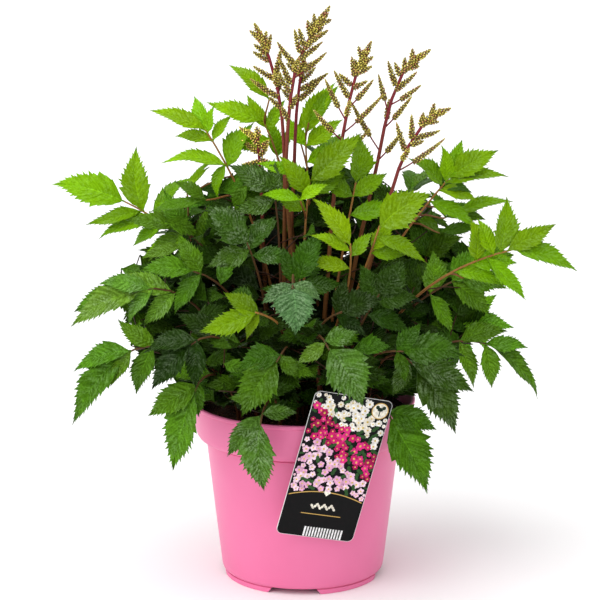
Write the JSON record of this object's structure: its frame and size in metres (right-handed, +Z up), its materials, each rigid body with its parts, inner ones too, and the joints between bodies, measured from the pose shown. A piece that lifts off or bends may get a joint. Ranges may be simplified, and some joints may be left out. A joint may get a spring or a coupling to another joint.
{
  "type": "potted astilbe plant",
  "caption": "Bushy garden perennial with divided, toothed leaves and feathery upright flower spikes in bud, growing in a flared round plastic pot with a card label hung on the rim.",
  "frame": {"origin": "on the ground at the middle of the bounding box's foot, which is under the middle of the pot", "axes": "+Z up, the longest way; -Y towards the front, where the label hangs; +X to the right as seen from the front"},
  "size_m": [0.4373, 0.3364, 0.489],
  "materials": {
    "pot": "satin",
    "soil": "matte",
    "label": "satin",
    "leaf_lime": "satin",
    "leaf_fresh": "satin",
    "leaf_deep": "satin",
    "leaf_mature": "satin",
    "spike": "matte"
  },
  "bodies": {
    "root": {"pot": "pot", "soil": "soil", "label": "label", "spike_tall_left": "spike", "spike_tall_right": "spike", "spike_middle": "spike", "spike_right_inner": "spike", "spike_right_outer": "spike", "spike_right_low": "spike", "spike_young": "spike", "leaf_far_left": "leaf_fresh", "leaf_upper_left": "leaf_fresh", "leaf_stem_left": "leaf_fresh", "leaf_stem_right": "leaf_fresh", "leaf_arch": "leaf_fresh", "leaf_upright": "leaf_fresh", "leaf_mid_left": "leaf_deep", "leaf_right_upper": "leaf_fresh", "leaf_right_far": "leaf_fresh", "leaf_left_mid": "leaf_deep", "leaf_left_low": "leaf_deep", "leaf_left_low_front": "leaf_deep", "leaf_left_rim": "leaf_mature", "leaf_rim_left": "leaf_mature", "leaf_rim_right": "leaf_mature", "leaf_front_left": "leaf_mature", "leaf_trio": "leaf_lime", "leaf_centre": "leaf_mature", "leaf_front": "leaf_mature", "leaf_upper_front_left": "leaf_deep", "leaf_inner_up": "leaf_deep", "leaf_young_left": "leaf_lime", "leaf_young_right": "leaf_lime", "leaf_inner_right": "leaf_deep", "leaf_dark_right": "leaf_deep", "leaf_right_front": "leaf_deep", "leaf_right_low": "leaf_mature", "leaf_right_mid": "leaf_deep", "leaf_right_back": "leaf_deep", "leaf_right_inner": "leaf_deep", "leaf_left_upper_mid": "leaf_deep", "leaf_left_inner": "leaf_deep", "leaf_back_1": "leaf_deep", "leaf_back_2": "leaf_deep", "leaf_back_3": "leaf_deep", "leaf_back_4": "leaf_deep", "leaf_back_5": "leaf_deep", "leaf_back_6": "leaf_deep", "leaf_back_7": "leaf_deep", "leaf_back_8": "leaf_deep", "leaf_back_9": "leaf_deep", "leaf_back_10": "leaf_deep"}
  },
  "joints": []
}
